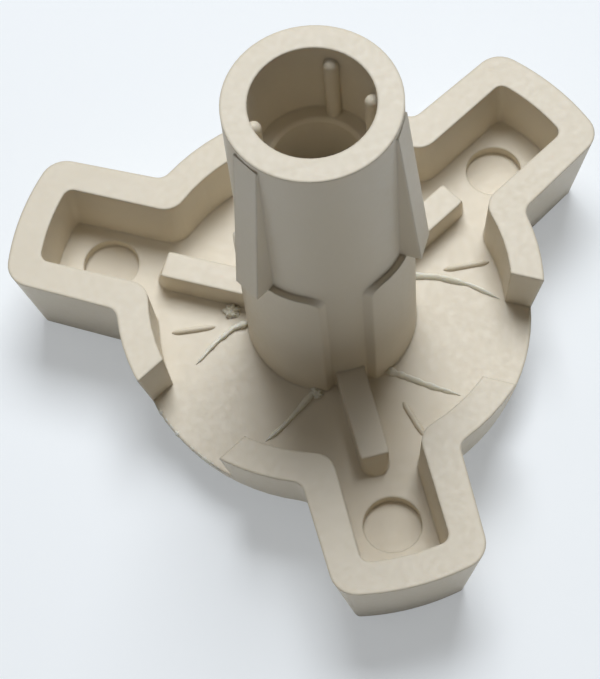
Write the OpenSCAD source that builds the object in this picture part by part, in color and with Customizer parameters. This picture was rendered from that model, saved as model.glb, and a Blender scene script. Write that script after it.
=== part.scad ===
/* [Lobes and walls] */
// Distance from the axis to the outer end of a lobe, at the wall tops
arm_reach = 28.5; // [24:0.1:34]
// Half the width of a lobe, measured at the wall tops where the arm is 20 mm out
arm_half = 6.7; // [5.4:0.05:8.5]
// How much the lobe side leans inward for each millimetre outward
arm_taper = 0.029; // [0:0.001:0.06]
// Distance from the axis to the centre of the curved lobe end
end_centre = 5.9; // [2:0.1:12]
// Radius of the round plate between the lobes, at the wall tops
plate_radius = 18.55; // [16:0.05:20]
// Radius of the rounded outer corners of a lobe
corner_radius = 2.3; // [1.9:0.1:3]
// Radius of the inward bend where a lobe leaves the plate
bend_radius = 1.2; // [0.6:0.1:2.5]
// Height of the wall tops above the resting face
wall_top = 9.9; // [8:0.1:12]
// How far the outer faces lean inward from the wall tops down to the resting face
outer_draft = 1.7; // [0.2:0.1:1.8]

/* [Floor and pockets] */
// Height of the open floor inside the walls
floor_height = 4.5; // [3.6:0.1:6]
// Height of the plate underside between the lobes
flange_under = 3.1; // [1.5:0.1:3.2]
// Thickness of the walls along the lobe sides and the plate rim
wall_thickness = 2.95; // [2:0.05:3.4]
// Lean of the inner wall faces from the wall tops down to the floor
inner_draft = 0.35; // [0:0.05:0.8]
// Radius of the inner corners at the lobe end
pocket_corner = 0.9; // [0.6:0.1:1.6]
// Radius of the wall's bulge where the pocket opens into the plate
pocket_bend = 1.9; // [0.8:0.1:3]
// Half the width of the open channel between two lobes
channel_half = 5.1; // [4:0.1:6]
// Distance from the axis to the centre of the round recess in a lobe floor
recess_distance = 20.7; // [19.5:0.1:21.5]
// Radius of the round recess
recess_radius = 2.5; // [1.5:0.1:2.8]
// Depth of the round recess
recess_depth = 0.9; // [0.2:0.1:1.5]

/* [Radial ribs] */
// Width of the rib on each lobe's centre line
rib_width = 2.5; // [1.6:0.1:3]
// Height of the rib above the floor
rib_height = 2.6; // [1:0.1:4]
// Distance from the axis to the rib's outer end at the top
rib_reach = 15.3; // [12:0.1:16.5]
// How much farther out the rib's foot ends than its top
rib_slope = 0.8; // [0:0.1:1.2]

/* [Tube] */
// Height of the tube's flat rim above the resting face
tube_top = 39; // [32:0.5:50]
// Outer radius of the tube
tube_radius = 6.95; // [6.5:0.05:7.3]
// Radius of the wide upper bore
bore_radius = 4.9; // [4.5:0.05:5.2]
// Depth of the wide bore from the rim down to the ledge
ledge_depth = 8.05; // [6:0.05:14]
// Radius of the narrow shaft hole below the ledge
shaft_radius = 3.6; // [2.5:0.05:3.9]
// Height of the closed end of the shaft hole above the resting face
shaft_floor = 6; // [3.5:0.5:14]
// Small bevel at the shaft hole's mouth
shaft_bevel = 0.25; // [0.1:0.05:0.5]

/* [Raised patches and fins] */
// Radius of the raised patch low on the tube in each channel
patch_radius = 7.5; // [7.4:0.05:8]
// Height of the top of the patch above the resting face
patch_top = 20.8; // [14:0.1:26]
// Radius of the patch's two upper corners
patch_corner = 1.1; // [0.3:0.1:2]
// Width of the fin that runs up the tube above each patch
fin_width = 2.5; // [1.6:0.1:3.2]
// Distance from the axis to the fin's outer face at its lower end
fin_reach = 8.65; // [8.1:0.05:9.4]
// Distance from the axis to the fin's outer face at its upper end
fin_top_reach = 7.0; // [6.8:0.05:7.4]
// How far the fin stops below the rim
fin_gap = 0.6; // [0.2:0.1:4]

/* [Bore ribs] */
// Radius of the small half-round ribs inside the wide bore
grip_radius = 0.6; // [0.4:0.05:0.8]
// How far each small rib stands out of the bore wall
grip_height = 0.9; // [0.3:0.05:1.1]
// Distance from the rim down to the rounded upper end of the small ribs
grip_drop = 1.2; // [0.6:0.1:4]
// Direction that a pair of small ribs is centred on
grip_axis = 29; // [0:1:60]
// Angle from that direction to each rib of the pair
grip_spread = 30; // [20:1:42]

/* [Hidden] */
$fn = 96;
lobe_turns = [-90, 30, 150];
channel_turns = [-30, 90, 210];
beige = [0.84, 0.80, 0.74];
overlap = 0.6;
plate_steps = 8;
bend_steps = 5;
corner_steps = 6;
end_steps = 6;
half_count = plate_steps + bend_steps + corner_steps + end_steps + 2;
lobe_count = 2 * half_count - 2;
foot_first = plate_steps + bend_steps + 1;
foot_last = lobe_count - foot_first;
foot_count = foot_last - foot_first + 1;
ledge_height = tube_top - ledge_depth;
arm_half_hub = arm_half + 20 * arm_taper;
inner_half = arm_half - wall_thickness;
inner_radius = plate_radius - wall_thickness + 0.15;
inner_reach = arm_reach - wall_thickness + 0.15;
outer_slope = outer_draft / wall_top;
inner_slope = inner_draft / (wall_top - floor_height);

// Normal and direction of the leaning side line of a lobe
function side_length(lean) = sqrt(1 + lean * lean);
function side_normal(lean) = [lean, 1] / side_length(lean);
function side_along(lean) = [1, -lean] / side_length(lean);
function arc_points(centre, radius, from, to, steps, first) =
  [for (i = [first : steps])
    centre + radius * [cos(from + (to - from) * i / steps), sin(from + (to - from) * i / steps)]];
function turn_point(p, angle) =
  [p[0] * cos(angle) - p[1] * sin(angle), p[0] * sin(angle) + p[1] * cos(angle)];

// Distance along the side line at which a circle of the given reach is met
function reach_along(start, along, reach) =
  -(start * along) + sqrt(pow(start * along, 2) - start * start + reach * reach);

// Corner and end of one half of a lobe, from the side line to the centre line
function lobe_end(half, lean, reach, centre, corner) =
  let (n = side_normal(lean), t = side_along(lean), e = [centre, 0])
  let (s = [0, half] - corner * n - e)
  let (k = s + reach_along(s, t, reach - centre - corner) * t)
  let (from = atan2(n[1], n[0]), to = atan2(k[1], k[0]))
  concat(
    arc_points(k + e, corner, from, to, corner_steps, 0),
    arc_points(e, reach - centre, to, 0, end_steps, 1));

// Half outline of plate, bend and lobe, from the channel's middle to the lobe's centre line
function plate_half(radius, half, lean, reach, centre, bend, corner) =
  let (n = side_normal(lean), t = side_along(lean))
  let (s = [0, half] + bend * n)
  let (c = s + reach_along(s, t, radius + bend) * t)
  let (at = atan2(c[1], c[0]), to = atan2(-n[1], -n[0]))
  concat(
    arc_points([0, 0], radius, 60, at, plate_steps, 0),
    arc_points(c, bend, at - 180, to, bend_steps, 1),
    lobe_end(half, lean, reach, centre, corner));

// Closed outline of the whole plate with its three lobes, counter-clockwise
function plate_outline(radius, half, lean, reach, centre, bend, corner) =
  let (side = plate_half(radius, half, lean, reach, centre, bend, corner))
  let (lobe = concat(
    [for (p = side) [p[0], -p[1]]],
    [for (i = [half_count - 2 : -1 : 1]) side[i]]))
  [for (turn = lobe_turns) for (p = lobe) turn_point(p, turn)];

function lifted(outline, z) = [for (p = outline) [p[0], p[1], z]];

// Faces of a flat cap made of triangles around one middle point
function cap_up(middle, ring, first, count) =
  [for (i = [0 : count - 1]) [middle, ring[(i + 1) % count] + first, ring[i] + first]];
function cap_down(middle, ring, first, count) =
  [for (i = [0 : count - 1]) [middle, ring[i] + first, ring[(i + 1) % count] + first]];

function outer_at(z) = let (inset = (wall_top - z) * outer_slope)
  plate_outline(plate_radius - inset, arm_half_hub - inset * side_length(arm_taper), arm_taper,
    arm_reach - inset, end_centre, bend_radius + inset, corner_radius - inset);

function inner_at(z) = let (inset = (wall_top - z) * inner_slope)
  plate_outline(inner_radius - inset, inner_half - inset, 0,
    inner_reach - inset, end_centre, pocket_bend + inset, pocket_corner - inset);

// Points where two neighbouring lobe sides would meet at the height z
function crotch_at(z) =
  let (half = arm_half_hub - (wall_top - z) * outer_slope * side_length(arm_taper))
  let (u = half / (tan(60) + arm_taper))
  [for (turn = lobe_turns) turn_point([u, u * tan(60)], turn)];

// Corner and end points of the three lobes only
function foot_at(z) = let (whole = outer_at(z))
  [for (lobe = [0 : 2]) for (i = [foot_first : foot_last]) whole[lobe * lobe_count + i]];

// Plate between the lobes, lobe walls and lobe feet as one closed block
module outer_block() {
  ring = 3 * lobe_count;
  crotch = 2 * ring;
  foot = crotch + 3;
  crotch_low = foot + 3 * foot_count;
  middle_top = crotch_low + 3;
  middle_low = middle_top + 1;
  points = concat(
    lifted(outer_at(wall_top), wall_top),
    lifted(outer_at(flange_under), flange_under),
    lifted(crotch_at(flange_under), flange_under),
    lifted(foot_at(0), 0),
    lifted(crotch_at(0), 0),
    [[0, 0, wall_top], [0, 0, 0]]);
  around = [for (i = [0 : ring - 1]) i];
  sole = [for (lobe = [0 : 2]) for (i = [0 : foot_count])
    i < foot_count ? foot + lobe * foot_count + i : crotch_low + lobe];
  sides = [for (i = [0 : ring - 1]) [i + ring, i, (i + 1) % ring, (i + 1) % ring + ring]];
  under = [for (lobe = [0 : 2]) for (i = [foot_last + 1 : foot_first + lobe_count - 2])
    let (at = lobe * lobe_count + i)
    [crotch + lobe, ring + at % ring, ring + (at + 1) % ring]];
  ends = [for (lobe = [0 : 2]) for (i = [0 : foot_count - 2])
    let (high = ring + lobe * lobe_count + foot_first + i, low = foot + lobe * foot_count + i)
    [low, high, high + 1, low + 1]];
  left_sides = [for (lobe = [0 : 2])
    let (high = ring + lobe * lobe_count + foot_last, low = foot + (lobe + 1) * foot_count - 1)
    [crotch_low + lobe, low, high, high + 1, crotch + lobe]];
  right_sides = [for (lobe = [0 : 2])
    let (high = ring + lobe * lobe_count + foot_first, low = foot + lobe * foot_count)
    let (before = (lobe + 2) % 3)
    [crotch_low + before, crotch + before, high - 1, high, low]];
  polyhedron(
    points = points,
    faces = concat(
      cap_up(middle_top, around, 0, ring),
      cap_down(middle_low, sole, 0, len(sole)),
      sides, under, ends, left_sides, right_sides),
    convexity = 8);
}

// Open space inside the walls
module inner_space() {
  ring = 3 * lobe_count;
  high = wall_top + 1;
  points = concat(
    lifted(inner_at(high), high),
    lifted(inner_at(floor_height), floor_height),
    [[0, 0, high], [0, 0, floor_height]]);
  around = [for (i = [0 : ring - 1]) i];
  sides = [for (i = [0 : ring - 1]) [i + ring, i, (i + 1) % ring, (i + 1) % ring + ring]];
  polyhedron(
    points = points,
    faces = concat(
      cap_up(2 * ring, around, 0, ring),
      cap_down(2 * ring + 1, around, ring, ring),
      sides),
    convexity = 8);
}

// Gap in the walls between two lobes
module channel_gap() {
  translate([inner_radius - 4, -channel_half, floor_height])
    cube([10, 2 * channel_half, wall_top]);
}

// Round recess in a lobe's floor
module floor_recess() {
  translate([recess_distance, 0, floor_height - recess_depth])
    cylinder(r = recess_radius, h = recess_depth + 1, $fn = 48);
}

// Straight rib on a lobe's centre line with a rounded, sloping outer end
module radial_rib() {
  top = floor_height + rib_height;
  foot = floor_height - overlap;
  tip = rib_reach + rib_slope;
  intersection() {
    translate([0, rib_width / 2, 0])
      rotate([90, 0, 0])
        linear_extrude(height = rib_width)
          polygon([
            [tube_radius - overlap, foot],
            [tip + rib_slope * overlap / rib_height, foot],
            [rib_reach, top],
            [tube_radius - overlap, top]]);
    translate([0, 0, foot - 1])
      linear_extrude(height = rib_height + overlap + 2)
        union() {
          translate([0, -rib_width / 2])
            square([tip - rib_width / 2, rib_width]);
          translate([tip - rib_width / 2, 0])
            circle(d = rib_width, $fn = 32);
        }
  }
}

// Raised patch low on the tube, as wide as the channel, with rounded upper corners
module tube_patch() {
  height = patch_top - floor_height + overlap;
  intersection() {
    translate([0, 0, floor_height - overlap])
      cylinder(r = patch_radius, h = height + 1);
    translate([0, 0, floor_height - overlap])
      rotate([90, 0, 90])
        linear_extrude(height = patch_radius + 1)
          union() {
            translate([-channel_half, 0])
              square([2 * channel_half, height - patch_corner]);
            translate([-channel_half + patch_corner, 0])
              square([2 * (channel_half - patch_corner), height]);
            for (side = [-1, 1])
              translate([side * (channel_half - patch_corner), height - patch_corner])
                circle(r = patch_corner, $fn = 32);
          }
  }
}

// Wedge-shaped fin that runs up the tube from the patch to just under the rim
module tube_fin() {
  start = tube_radius - 1;
  translate([0, fin_width / 2, 0])
    rotate([90, 0, 0])
      linear_extrude(height = fin_width)
        polygon([
          [start, patch_top],
          [fin_reach, patch_top],
          [fin_top_reach, tube_top - fin_gap],
          [start, tube_top - fin_gap]]);
}

// Wide bore, ledge and narrow shaft hole, closed at its lower end
module stepped_bore() {
  rotate_extrude()
    polygon([
      [0, shaft_floor],
      [shaft_radius, shaft_floor],
      [shaft_radius, ledge_height - shaft_bevel],
      [shaft_radius + shaft_bevel, ledge_height],
      [bore_radius, ledge_height],
      [bore_radius, tube_top + 1],
      [0, tube_top + 1]]);
}

// Small upright rib with a rounded upper end on the wide bore's wall
module bore_grip() {
  at = bore_radius + grip_radius - grip_height;
  top = tube_top - grip_drop - grip_radius;
  translate([at, 0, ledge_height - overlap]) {
    cylinder(r = grip_radius, h = top - ledge_height + overlap, $fn = 32);
    translate([0, 0, top - ledge_height + overlap])
      sphere(r = grip_radius, $fn = 32);
  }
}

module turntable_coupling() {
  color(beige) {
    difference() {
      union() {
        difference() {
          outer_block();
          inner_space();
          for (turn = channel_turns)
            rotate([0, 0, turn])
              channel_gap();
          for (turn = lobe_turns)
            rotate([0, 0, turn])
              floor_recess();
        }
        translate([0, 0, floor_height - overlap])
          cylinder(r = tube_radius, h = tube_top - floor_height + overlap);
        for (turn = lobe_turns)
          rotate([0, 0, turn])
            radial_rib();
        for (turn = channel_turns)
          rotate([0, 0, turn]) {
            tube_patch();
            tube_fin();
          }
      }
      stepped_bore();
    }
    for (side = [0, 180])
      for (turn = [-grip_spread, grip_spread])
        rotate([0, 0, grip_axis + side + turn])
          bore_grip();
  }
}

turntable_coupling();
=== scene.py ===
import math

import bmesh
import bpy
from mathutils import Matrix, Vector, noise


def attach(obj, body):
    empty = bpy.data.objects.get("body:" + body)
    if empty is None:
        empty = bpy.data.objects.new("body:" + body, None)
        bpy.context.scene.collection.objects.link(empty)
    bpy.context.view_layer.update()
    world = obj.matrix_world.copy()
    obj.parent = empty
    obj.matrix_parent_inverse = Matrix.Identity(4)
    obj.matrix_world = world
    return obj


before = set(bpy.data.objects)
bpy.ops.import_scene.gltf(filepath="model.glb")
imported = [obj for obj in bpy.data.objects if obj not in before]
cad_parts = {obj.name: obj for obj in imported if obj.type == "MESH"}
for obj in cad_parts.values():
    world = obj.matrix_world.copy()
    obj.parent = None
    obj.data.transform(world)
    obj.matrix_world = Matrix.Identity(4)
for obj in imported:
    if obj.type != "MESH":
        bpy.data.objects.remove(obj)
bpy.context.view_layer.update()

mm = 0.001
body = "root"
couplingNode = "turntable_coupling"
lobeTurns = [-90, 30, 150]      # bottom, right and left lobe, degrees
print("frame loaded")


# ---- camera, table and light

cameraView = {
    "place": (-14.816, -87.299, 174.955),    # mm
    "right": (0.96880, -0.24147, -0.05599),
    "up": (0.24046, 0.86066, 0.44884),
    "lens": 114.73,                          # with a 36 mm high sensor
    "sensorHeight": 36.0,
}


def addCamera(values):
    right = Vector(values["right"]).normalized()
    back = right.cross(Vector(values["up"])).normalized()
    up = back.cross(right)
    data = bpy.data.cameras.new("camera")
    data.sensor_fit = "VERTICAL"
    data.sensor_height = values["sensorHeight"]
    data.lens = values["lens"]
    data.clip_start = 0.01
    camera = bpy.data.objects.new("camera", data)
    turn = Matrix((right, up, back)).transposed().to_4x4()
    camera.matrix_world = Matrix.Translation(Vector(values["place"]) * mm) @ turn
    bpy.context.scene.collection.objects.link(camera)
    bpy.context.scene.camera = camera


studio = {
    "keyPlace": (0.10, 0.30, 0.60),
    "keySize": 0.36,
    "keyPower": 4.25,
    "keyColour": (0.93, 0.965, 1.0),
    "fillPlace": (-0.45, 0.10, 0.55),
    "fillSize": 0.5,
    "fillPower": 0.25,
    "skyStrength": 0.11,
    "skyColour": (1.0, 0.96, 0.90),
    "floorHalf": 1.5,
    "floorColour": (0.93, 0.955, 0.98),
    "floorGlow": (0.90, 0.94, 0.975),     # what the camera sees mixed in, the shadow stays
    "glowShare": 0.34,
}


def addAreaLamp(name, place, size, power, colour):
    data = bpy.data.lights.new(name, "AREA")
    data.shape = "SQUARE"
    data.size = size
    data.energy = power
    data.color = colour
    lamp = bpy.data.objects.new(name, data)
    lamp.location = place
    lamp.rotation_euler = Vector(place).to_track_quat("Z", "Y").to_euler()
    bpy.context.scene.collection.objects.link(lamp)


def addSky(values):
    world = bpy.data.worlds.new("studioSky")
    world.use_nodes = True
    background = world.node_tree.nodes["Background"]
    background.inputs["Color"].default_value = (*values["skyColour"], 1)
    background.inputs["Strength"].default_value = values["skyStrength"]
    bpy.context.scene.world = world


def mathNode(tree, operation, first, second):
    node = tree.nodes.new("ShaderNodeMath")
    node.operation = operation
    for socket, value in zip(node.inputs, (first, second)):
        if isinstance(value, (int, float)):
            socket.default_value = value
        else:
            tree.links.new(value, socket)
    return node.outputs[0]


def floorMaterial(values):
    material = bpy.data.materials.new("tableTop")
    material.use_nodes = True
    tree = material.node_tree
    shader = tree.nodes["Principled BSDF"]
    shader.inputs["Base Color"].default_value = (*values["floorColour"], 1)
    shader.inputs["Roughness"].default_value = 0.6
    shader.inputs["Specular IOR Level"].default_value = 0.2
    glow = tree.nodes.new("ShaderNodeEmission")
    glow.inputs["Color"].default_value = (*values["floorGlow"], 1)
    path = tree.nodes.new("ShaderNodeLightPath")
    seen = mathNode(tree, "MAXIMUM", path.outputs["Is Camera Ray"], path.outputs["Is Glossy Ray"])
    seen = mathNode(tree, "MAXIMUM", seen, path.outputs["Is Transmission Ray"])
    share = mathNode(tree, "MULTIPLY", seen, values["glowShare"])
    mix = tree.nodes.new("ShaderNodeMixShader")
    tree.links.new(share, mix.inputs[0])
    tree.links.new(shader.outputs[0], mix.inputs[1])
    tree.links.new(glow.outputs[0], mix.inputs[2])
    tree.links.new(mix.outputs[0], tree.nodes["Material Output"].inputs["Surface"])
    return material


def addFloor(values):
    mesh = bpy.data.meshes.new("floor")
    bm = bmesh.new()
    bmesh.ops.create_grid(bm, x_segments=1, y_segments=1, size=values["floorHalf"])
    bm.to_mesh(mesh)
    bm.free()
    mesh.materials.append(floorMaterial(values))
    floor = bpy.data.objects.new("floor", mesh)
    bpy.context.scene.collection.objects.link(floor)


scene = bpy.context.scene
scene.view_settings.view_transform = "Standard"
addCamera(cameraView)
addAreaLamp("keyLamp", studio["keyPlace"], studio["keySize"], studio["keyPower"], studio["keyColour"])
addAreaLamp("fillLamp", studio["fillPlace"], studio["fillSize"], studio["fillPower"], studio["keyColour"])
addSky(studio)
addFloor(studio)
print("camera, table and light in place")


# ---- moulded plastic


def newSocket(group, name, kind, inOut, value=None):
    socket = group.interface.new_socket(name=name, in_out=inOut, socket_type=kind)
    if value is not None:
        socket.default_value = value


def noiseNode(tree, coordinates, scale, detail, roughness=0.5):
    node = tree.nodes.new("ShaderNodeTexNoise")
    node.inputs["Detail"].default_value = detail
    node.inputs["Roughness"].default_value = roughness
    tree.links.new(coordinates, node.inputs["Vector"])
    if isinstance(scale, (int, float)):
        node.inputs["Scale"].default_value = scale
    else:
        tree.links.new(scale, node.inputs["Scale"])
    return node.outputs["Fac"]


def rangeNode(tree, value, low, high, toLow, toHigh):
    node = tree.nodes.new("ShaderNodeMapRange")
    tree.links.new(value, node.inputs["Value"])
    for name, number in (("From Min", low), ("From Max", high), ("To Min", toLow), ("To Max", toHigh)):
        node.inputs[name].default_value = number
    return node.outputs["Result"]


def mixColour(tree, factor, first, second):
    node = tree.nodes.new("ShaderNodeMix")
    node.data_type = "RGBA"
    tree.links.new(factor, node.inputs["Factor"])
    for name, value in (("A", first), ("B", second)):
        socket = [s for s in node.inputs if s.name == name and s.type == "RGBA"][0]
        tree.links.new(value, socket)
    return [s for s in node.outputs if s.type == "RGBA"][0]


def mouldedSurfaceGroup():
    group = bpy.data.node_groups.new("mouldedSurface", "ShaderNodeTree")
    newSocket(group, "Plain Colour", "NodeSocketColor", "INPUT", (0.7, 0.64, 0.54, 1))
    newSocket(group, "Dull Colour", "NodeSocketColor", "INPUT", (0.6, 0.54, 0.42, 1))
    newSocket(group, "Cloud Scale", "NodeSocketFloat", "INPUT", 90.0)
    newSocket(group, "Grain Scale", "NodeSocketFloat", "INPUT", 1800.0)
    newSocket(group, "Scuff Amount", "NodeSocketFloat", "INPUT", 0.5)
    newSocket(group, "Colour", "NodeSocketColor", "OUTPUT")
    newSocket(group, "Roughness", "NodeSocketFloat", "OUTPUT")
    newSocket(group, "Height", "NodeSocketFloat", "OUTPUT")
    given = group.nodes.new("NodeGroupInput")
    result = group.nodes.new("NodeGroupOutput")
    place = group.nodes.new("ShaderNodeTexCoord").outputs["Object"]

    cloud = noiseNode(group, place, given.outputs["Cloud Scale"], 3.0)
    dull = rangeNode(group, cloud, 0.38, 0.72, 0.0, 0.30)
    colour = mixColour(group, dull, given.outputs["Plain Colour"], given.outputs["Dull Colour"])
    grain = noiseNode(group, place, given.outputs["Grain Scale"], 2.0)

    # scuffs: long thin streaks from a noise stretched along one line
    stretch = group.nodes.new("ShaderNodeMapping")
    stretch.inputs["Rotation"].default_value = (0.0, 0.0, math.radians(52))
    stretch.inputs["Scale"].default_value = (60.0, 1700.0, 300.0)
    group.links.new(place, stretch.inputs["Vector"])
    streak = noiseNode(group, stretch.outputs["Vector"], 1.0, 1.0)
    scuff = rangeNode(group, streak, 0.66, 0.80, 0.0, 1.0)
    scuff = mathNode(group, "MULTIPLY", scuff, given.outputs["Scuff Amount"])

    group.links.new(colour, result.inputs["Colour"])
    rough = rangeNode(group, grain, 0.3, 0.7, 0.40, 0.52)
    rough = mathNode(group, "ADD", rough, mathNode(group, "MULTIPLY", scuff, 0.12))
    group.links.new(rough, result.inputs["Roughness"])
    lift = mathNode(group, "ADD", mathNode(group, "MULTIPLY", grain, 0.35), mathNode(group, "MULTIPLY", scuff, -0.5))
    lift = mathNode(group, "ADD", lift, mathNode(group, "MULTIPLY", cloud, 0.12))
    group.links.new(lift, result.inputs["Height"])
    return group


plastics = {
    "mouldedBeige": {
        "plain": (0.710, 0.636, 0.510), "dull": (0.655, 0.572, 0.430),
        "cloud": 110.0, "grain": 1900.0, "scuff": 0.5, "bump": 0.22, "scatter": 0.10,
    },
    "flashBeigePaintedHighlight": {
        # plain colour paler than the moulding: painted highlight for the light catching the thin flash ridges, rim
        # fringe and burrs
        "plain": (0.80, 0.76, 0.65), "dull": (0.66, 0.60, 0.44),
        "cloud": 420.0, "grain": 2600.0, "scuff": 0.2, "bump": 0.25, "scatter": 0.25,
    },
}


def plasticMaterial(name, values, group):
    material = bpy.data.materials.new(name)
    material.use_nodes = True
    tree = material.node_tree
    shader = tree.nodes["Principled BSDF"]
    surface = tree.nodes.new("ShaderNodeGroup")
    surface.node_tree = group
    surface.inputs["Plain Colour"].default_value = (*values["plain"], 1)
    surface.inputs["Dull Colour"].default_value = (*values["dull"], 1)
    surface.inputs["Cloud Scale"].default_value = values["cloud"]
    surface.inputs["Grain Scale"].default_value = values["grain"]
    surface.inputs["Scuff Amount"].default_value = values["scuff"]
    bump = tree.nodes.new("ShaderNodeBump")
    bump.inputs["Strength"].default_value = values["bump"]
    bump.inputs["Distance"].default_value = 0.05 * mm
    tree.links.new(surface.outputs["Height"], bump.inputs["Height"])
    tree.links.new(bump.outputs["Normal"], shader.inputs["Normal"])
    tree.links.new(surface.outputs["Colour"], shader.inputs["Base Color"])
    tree.links.new(surface.outputs["Roughness"], shader.inputs["Roughness"])
    shader.inputs["Specular IOR Level"].default_value = 0.4
    shader.inputs["Subsurface Weight"].default_value = values["scatter"]
    shader.inputs["Subsurface Radius"].default_value = (1.0, 0.75, 0.45)
    shader.inputs["Subsurface Scale"].default_value = 1.2 * mm
    return material


surfaceGroup = mouldedSurfaceGroup()
finish = {name: plasticMaterial(name, values, surfaceGroup) for name, values in plastics.items()}
print("plastic ready")


# ---- the moulding itself, with softly rounded edges

coupling = {
    "edgeRadius": 0.32,    # mm, the soft edge that the mould leaves
    "edgeSamples": 6,
}


def addPiece(name, bm, material):
    mesh = bpy.data.meshes.new(name)
    bm.to_mesh(mesh)
    bm.free()
    mesh.materials.clear()
    mesh.materials.append(material)
    piece = bpy.data.objects.new(name, mesh)
    bpy.context.scene.collection.objects.link(piece)
    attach(piece, body)
    return piece


def softenEdges(material, values):
    tree = material.node_tree
    edge = tree.nodes.new("ShaderNodeBevel")
    edge.samples = values["edgeSamples"]
    edge.inputs["Radius"].default_value = values["edgeRadius"] * mm
    bump = next(node for node in tree.nodes if node.type == "BUMP")
    tree.links.new(edge.outputs["Normal"], bump.inputs["Normal"])


def dressCoupling(values):
    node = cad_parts[couplingNode]
    softenEdges(finish["mouldedBeige"], values)
    for holder in node.material_slots:
        holder.material = finish["mouldedBeige"]


dressCoupling(coupling)
print("moulding made")


# ---- flash, burrs and moulded marks


def onPlate(radius, angle):
    turn = math.radians(angle - 90)      # angles are told from the bottom lobe's middle
    return Vector((radius * math.cos(turn), radius * math.sin(turn)))


def onLobe(lobe, along, across):
    turn = math.radians(lobeTurns[lobe])
    out = Vector((math.cos(turn), math.sin(turn)))
    return out * along + Vector((-out.y, out.x)) * across


def pointAt(path, share):
    step = min(max(share, 0.0), 1.0) * (len(path) - 1)
    first = min(int(step), len(path) - 2)
    return path[first].lerp(path[first + 1], step - first)


def strip(name, path, values, material):
    # a low rounded ridge along a path of flat points, in mm
    bm = bmesh.new()
    bmesh.ops.create_cube(bm, size=1.0)
    along = [e for e in bm.edges if abs(e.verts[0].co.x - e.verts[1].co.x) > 0.5]
    bmesh.ops.subdivide_edges(bm, edges=along, cuts=values["cuts"], use_grid_fill=True)
    for vert in bm.verts:
        share = vert.co.x + 0.5
        here = pointAt(path, share)
        heading = (pointAt(path, share + 0.02) - pointAt(path, share - 0.02)).normalized()
        side = Vector((-heading.y, heading.x))
        ends = min(1.0, 7.0 * min(share + values["startFade"], 1.0 - share + 0.03))
        size = ends * (1.0 - values["thinning"] * share)
        size *= 1.0 + values["ragged"] * noise.noise(Vector((here.x, here.y, 3.1)) * 1.9)
        top = vert.co.z > 0
        across = vert.co.y * values["width"] * size * (0.45 if top else 1.0)
        if top:
            across += values["lean"] * values["width"] * size
        flat = here + side * across
        height = values["base"] + (values["height"] * size if top else -0.15)
        vert.co = Vector((flat.x, flat.y, height)) * mm
    for face in bm.faces:
        face.smooth = True
    bmesh.ops.recalc_face_normals(bm, faces=bm.faces)
    piece = addPiece(name, bm, material)
    rounding = piece.modifiers.new("rounding", "SUBSURF")
    rounding.levels = rounding.render_levels = 2
    return piece


floorTop = 4.5      # mm, the plate's upper face

flash = {
    "base": floorTop, "width": 0.98, "height": 0.50, "thinning": 0.50,
    "ragged": 0.5, "lean": 0.2, "cuts": 26, "startFade": 0.05,
}
flashPaths = {
    "flash_line_1": [(7.6, -26.4), (9.4, -31.5), (11.4, -35.6), (13.5, -39.7)],
    "flash_line_2": [(7.2, 24.6), (9.0, 31.0), (11.4, 35.6), (13.9, 39.6)],
    "flash_line_3": [(7.4, -100.3), (8.9, -97.0), (10.8, -90.0), (12.9, -83.0)],
    "flash_line_4": [(7.6, 104.5), (10.0, 96.0), (12.5, 88.0), (15.0, 80.1)],
}
for pieceName, stations in flashPaths.items():
    strip(pieceName, [onPlate(*s) for s in stations], flash, finish["flashBeigePaintedHighlight"])

fringe = {
    "base": floorTop - 0.25, "width": 0.45, "height": 0.30, "thinning": 0.1,
    "ragged": 0.9, "lean": 0.0, "cuts": 48, "startFade": 0.03, "inset": 0.12,
    "from": -77, "to": -45, "points": 9,
}


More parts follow.
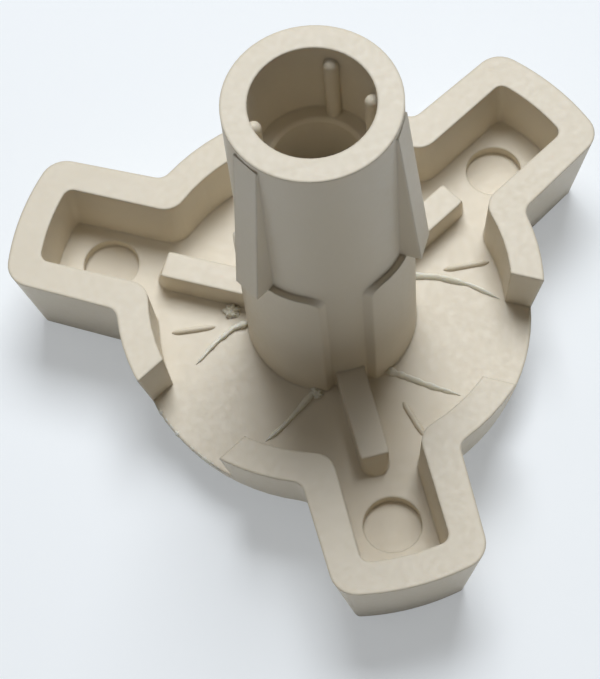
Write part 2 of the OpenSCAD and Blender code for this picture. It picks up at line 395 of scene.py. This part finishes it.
def rimRadius(values):
    # the plate's edge in the front-left channel, read from the frame
    middle = onPlate(1.0, (values["from"] + values["to"]) / 2)
    points = [v.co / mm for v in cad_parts[couplingNode].data.vertices]
    rim = [p.xy.length for p in points
           if p.xy.normalized().dot(middle) > 0.9 and floorTop - 0.1 < p.z < floorTop + 0.1]
    return max(rim) - values["inset"]


fringeTurns = [fringe["from"] + (fringe["to"] - fringe["from"]) * i / (fringe["points"] - 1)
               for i in range(fringe["points"])]
strip("rim_flash", [onPlate(rimRadius(fringe), turn) for turn in fringeTurns], fringe, finish["flashBeigePaintedHighlight"])

marks = {
    "base": floorTop, "width": 0.80, "height": 0.34, "thinning": 0.0,
    "ragged": 0.12, "lean": 0.0, "cuts": 12, "startFade": 0.03,
}
markEnds = {
    "raised_mark_bottom": (0, (9.9, 3.85), (13.6, 4.8)),
    "raised_mark_right": (1, (10.1, -3.9), (13.6, -6.3)),
    "raised_mark_left": (2, (9.65, 3.7), (13.3, 5.3)),
}
for pieceName, (lobe, inner, outer) in markEnds.items():
    strip(pieceName, [onLobe(lobe, *inner), onLobe(lobe, *outer)], marks, finish["mouldedBeige"])
print("flash and marks made")

burrs = {
    "burr_left": {"radius": 8.9, "angle": -107.6, "size": 0.62, "seed": 4.0},
    "burr_front": {"radius": 7.75, "angle": -24.0, "size": 0.55, "seed": 9.0},
    "burr_right": {"radius": 7.1, "angle": 24.6, "size": 0.30, "seed": 15.0},
}


def crumb(name, values):
    # a torn crumb of flash standing on the plate
    bm = bmesh.new()
    bmesh.ops.create_icosphere(bm, subdivisions=4, radius=1.0)
    middle = onPlate(values["radius"], values["angle"])
    for vert in bm.verts:
        shift = noise.noise(vert.co * 2.1 + Vector((values["seed"], 0, 0)))
        shift += 0.3 * noise.noise(vert.co * 5.3 + Vector((0, values["seed"], 0)))
        vert.co *= values["size"] * (1.0 + 0.6 * shift)
        vert.co.z *= 0.75
        vert.co += Vector((middle.x, middle.y, floorTop + 0.12 * values["size"]))
        vert.co *= mm
    for face in bm.faces:
        face.smooth = True
    addPiece(name, bm, finish["flashBeigePaintedHighlight"])


for pieceName, values in burrs.items():
    crumb(pieceName, values)
print("burrs made")
